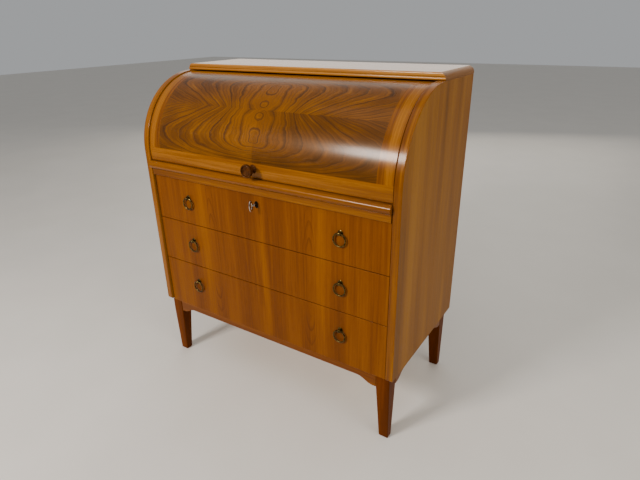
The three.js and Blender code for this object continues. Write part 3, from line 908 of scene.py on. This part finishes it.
def shell_mesh():
    """Curved panel, with its faces divided where the veneers meet."""
    low, high = SHELL_LOW.x, SHELL_HIGH.x
    columns = [low, -FIELD_X, 0, FIELD_X, high]
    mesh = bmesh.new()
    skins = []
    for radius in (SHELL_R, SHELL_R - SHELL_T):
        skin = []
        for angle in shell_rows():
            y = PIVOT.y - radius * math.cos(angle)
            z = PIVOT.z + radius * math.sin(angle)
            skin.append([mesh.verts.new((x, y, z)) for x in columns])
        skins.append(skin)
    outer, inner = skins
    last_row, last_column = len(outer) - 1, len(columns) - 1
    for i in range(last_row):
        for j in range(last_column):
            for skin in skins:
                mesh.faces.new((skin[i][j], skin[i][j + 1], skin[i + 1][j + 1], skin[i + 1][j]))
        for j in (0, last_column):
            mesh.faces.new((outer[i][j], outer[i + 1][j], inner[i + 1][j], inner[i][j]))
    for i in (0, last_row):
        for j in range(last_column):
            mesh.faces.new((outer[i][j], outer[i][j + 1], inner[i][j + 1], inner[i][j]))
    bmesh.ops.recalc_face_normals(mesh, faces=mesh.faces)
    return soften(mesh, 1.0 * MM, 3, 50)


def shell_material(face):
    """0 figured field, 1 end borders, 2 top and bottom bands, 3 lining."""
    middle = face.calc_center_median()
    forward, up = PIVOT.y - middle.y, middle.z - PIVOT.z
    angle = math.atan2(up, forward)
    if math.hypot(forward, up) < SHELL_R - 2.5 * MM:
        return 3
    if angle < FIELD_FROM or angle > FIELD_TO:
        return 2
    return 1 if abs(middle.x) > FIELD_X else 0


shell_looks = [FIELD, BORDER, SHELL_RAIL, SHELL_LINING]
shell = to_object("roll_top_panel", shell_mesh(), shell_looks, shell_material)
settle(shell, "roll_top", "figured_veneer", "roll_shell")

for side in ("left", "right"):
    eased("roll_arm_" + side, "bright_steel", STEEL, 0.6 * MM, 2)

# Knob profiles in millimetres: radius, and distance out from the seat
ROLL_KNOB = [
    (0, 0), (12.4, 0), (12.4, 1.6), (9.2, 4.6), (7.8, 10), (8.0, 15), (11.5, 19.5), (18.4, 23.4),
    (19.2, 26.5), (19.2, 30.2), (18.4, 33.4), (15.4, 33.9), (14.2, 29.4), (12.6, 28.4), (6, 28.8),
    (0, 29.2),
]
SMALL_KNOB = [
    (0, 0), (4.4, 0), (3.8, 2), (3.4, 5), (4.4, 7.6), (6.6, 9.4), (6.8, 12), (5, 14), (0, 14.4),
]


def knob(profile, seat, name, body, node):
    """A turned knob standing on its seat."""
    mesh = lathe_front(in_metres(smooth_profile(profile)), seat)
    settle(to_object(name, mesh, [WALNUT], crease=60), body, "turned_walnut", node)


knob_seat = Vector((0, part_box("roll_knob")[1].y + 0.3 * MM, PIVOT.z))
knob(ROLL_KNOB, knob_seat, "roll_top_knob", "roll_top", "roll_knob")
for side in ("left", "right"):
    low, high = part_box("inner_knob_" + side)
    seat = Vector(((low.x + high.x) / 2, high.y + 0.2 * MM, (low.z + high.z) / 2))
    knob(SMALL_KNOB, seat, "small_knob_" + side, "small_drawer_" + side, "inner_knob_" + side)
    eased("inner_drawer_" + side, "teak_fronts", FRONTS, THIN_EASE)


# Drawers -------------------------------------------------------------------------------------

def keyhole_outline(radius, slot_half, slot_drop):
    """Round hole over a narrow slot, drawn in x and z about the lock's axis."""
    start = -math.pi / 2 + math.asin(slot_half / radius)
    hole = arc(0, 0, radius, start, start + 2 * math.pi - 2 * math.asin(slot_half / radius), 20)
    outline = hole + [(-slot_half, -slot_drop), (slot_half, -slot_drop)]
    return [(LOCK.x + a, LOCK.z + b) for a, b in outline]


def drawer_front(node, has_lock):
    """Front board with a hairline gap all round, wider at its ends, and a keyhole if it locks."""
    low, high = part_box(node)
    side_gap, level_gap = 1.3 * MM, 0.4 * MM
    outline = box_outline(
        low.x + side_gap, high.x - side_gap, low.z + level_gap, high.z - level_gap,
    )
    board = soften(prism(outline, "y", low.y, high.y), 1.0 * MM)
    if not has_lock:
        return board
    keyhole = keyhole_outline(3.3 * MM, 1.5 * MM, 8.5 * MM)
    hole = prism(keyhole, "y", low.y - PAST, high.y + PAST)
    return boolean(loose("front_blank", board), loose("keyhole_cut", hole), "DIFFERENCE")


for number in (1, 2, 3):
    node = f"drawer_{number}_front"
    piece = to_object(node + "_veneered", drawer_front(node, number == 1), [FRONTS])
    settle(piece, f"drawer_{number}", "teak_fronts", node)
    eased(f"drawer_{number}_box", "drawer_linings", LINING_Y, 1 * MM)


def escutcheon():
    """Thin oval plate round the keyhole, coloured near-black as painted shade in and round the keyhole."""
    rim = ellipse(LOCK.x, LOCK.z - 2 * MM, 7 * MM, 10.5 * MM, 40)
    plate = prism(rim, "y", DRAWER_FACE - 0.9 * MM, DRAWER_FACE + 0.3 * MM)
    soften(plate, 0.4 * MM, 2, 50)
    keyhole = keyhole_outline(3.0 * MM, 1.3 * MM, 8.2 * MM)
    hole = prism(keyhole, "y", DRAWER_FACE - PAST, DRAWER_FACE + PAST)
    return boolean(loose("plate_blank", plate), loose("plate_cut", hole), "DIFFERENCE")


# The plate's near-black colour is painted shade round the keyhole
settle(to_object("keyhole_plate", escutcheon(), [KEYHOLE_PAINTED_SHADE]), "drawer_1", "antique_brass")
eased("lock_case", "antique_brass", BRASS, FINE_EASE, 2)
eased("lock_bolt", "antique_brass", BRASS, FINE_EASE, 2)


def torus(centre, major, minor, rings, sides):
    """A ring in the plane of the drawer fronts."""
    mesh = bmesh.new()
    loops = []
    for i in range(rings):
        turn = 2 * math.pi * i / rings
        loop = []
        for j in range(sides):
            around = 2 * math.pi * j / sides
            reach = major + minor * math.cos(around)
            loop.append(mesh.verts.new((
                centre.x + reach * math.cos(turn),
                centre.y + minor * math.sin(around),
                centre.z + reach * math.sin(turn),
            )))
        loops.append(loop)
    for i in range(rings):
        following = loops[(i + 1) % rings]
        for j in range(sides):
            k = (j + 1) % sides
            mesh.faces.new((loops[i][j], following[j], following[k], loops[i][k]))
    return mesh


def eye(centre):
    """Stud with a round plate and a bored head that the ring hangs in."""
    reach = (DRAWER_FACE - centre.y) / MM
    profile = [
        (0, -0.4), (8.2, -0.4), (8.2, 0.7), (7.2, 1.4), (4.6, 1.9), (3.7, 2.6),
        (3.7, reach - 5), (5.2, reach - 3.2), (6, reach), (5.2, reach + 3.2),
        (3.2, reach + 5.2), (0, reach + 6),
    ]
    stud = lathe_front(in_metres(profile), Vector((centre.x, DRAWER_FACE, centre.z)), 40)
    bore_r = 3.3 * MM
    bore = ellipse(centre.y, centre.z, bore_r, bore_r, 28)
    hole = prism(bore, "x", centre.x - PAST, centre.x + PAST)
    return boolean(loose("stud", stud), loose("stud_bore", hole), "DIFFERENCE")


for number in (1, 2, 3):
    for side in ("left", "right"):
        label = f"{number}_{side}"
        hinge = Vector(JOINTS[f"ring_{label}_swing"]["pos_m"])
        low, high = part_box("pull_ring_" + label)
        wire = (high.y - low.y) / 2
        major = (high.x - low.x) / 2 - wire
        ring = torus(hinge - Vector((0, 0, major)), major, wire, 72, 18)
        settle(to_object("ring_" + label, ring, [BRASS], crease=80), "ring_" + label,
               "antique_brass", "pull_ring_" + label)
        stud = to_object("eye_" + label, eye(hinge), [BRASS], crease=50)
        settle(stud, f"drawer_{number}", "antique_brass", "pull_eye_" + label)


# The key's shank in millimetres: radius, and distance forward from its tip
SHANK = [
    (0, 0), (2.1, 0), (2.3, 0.4), (2.3, 33), (3.4, 33.4), (3.6, 34.4), (3.4, 35.4), (2.5, 35.9),
    (2.5, 38.5), (3.1, 39), (3.1, 40.4), (2.2, 41.6), (1.6, 42.6), (0, 42.6),
]


def key_piece():
    """Round shank with a collar, a flat bit, and a pierced oval bow."""
    low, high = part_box("key")
    tip = high.y
    bow_y, half_y, half_z = low.y + 8 * MM, 8 * MM, (high.z - low.z) / 2
    bow_half, bit_half = 1.25 * MM, 1.1 * MM
    bow = prism(ellipse(bow_y, LOCK.z, half_y, half_z, 44), "x", -bow_half, bow_half)
    soften(bow, 0.7 * MM, 3, 50)
    piercing = prism(ellipse(bow_y, LOCK.z, half_y * 0.42, half_z * 0.56, 44), "x", -PAST, PAST)
    mesh = boolean(loose("bow", bow), loose("bow_cut", piercing), "DIFFERENCE")
    add_to(mesh, lathe_front(in_metres(SHANK), Vector((0, tip, LOCK.z)), 28))
    bit = box_outline(tip - 4 * MM, tip, LOCK.z - 7.5 * MM, LOCK.z)
    add_to(mesh, soften(prism(bit, "x", -bit_half, bit_half), 0.2 * MM, 2))
    return mesh


settle(to_object("key_in_lock", key_piece(), [STEEL], crease=45), "key", "bright_steel", "key")


# Stage ---------------------------------------------------------------------------------------

def floor_mesh():
    mesh = bmesh.new()
    reach = 14
    corners = box_outline(-reach, reach, -reach, reach)
    mesh.faces.new([mesh.verts.new((x, y, 0)) for x, y in corners])
    return mesh


floor = to_object("studio_floor", floor_mesh(), [floor_surface()])
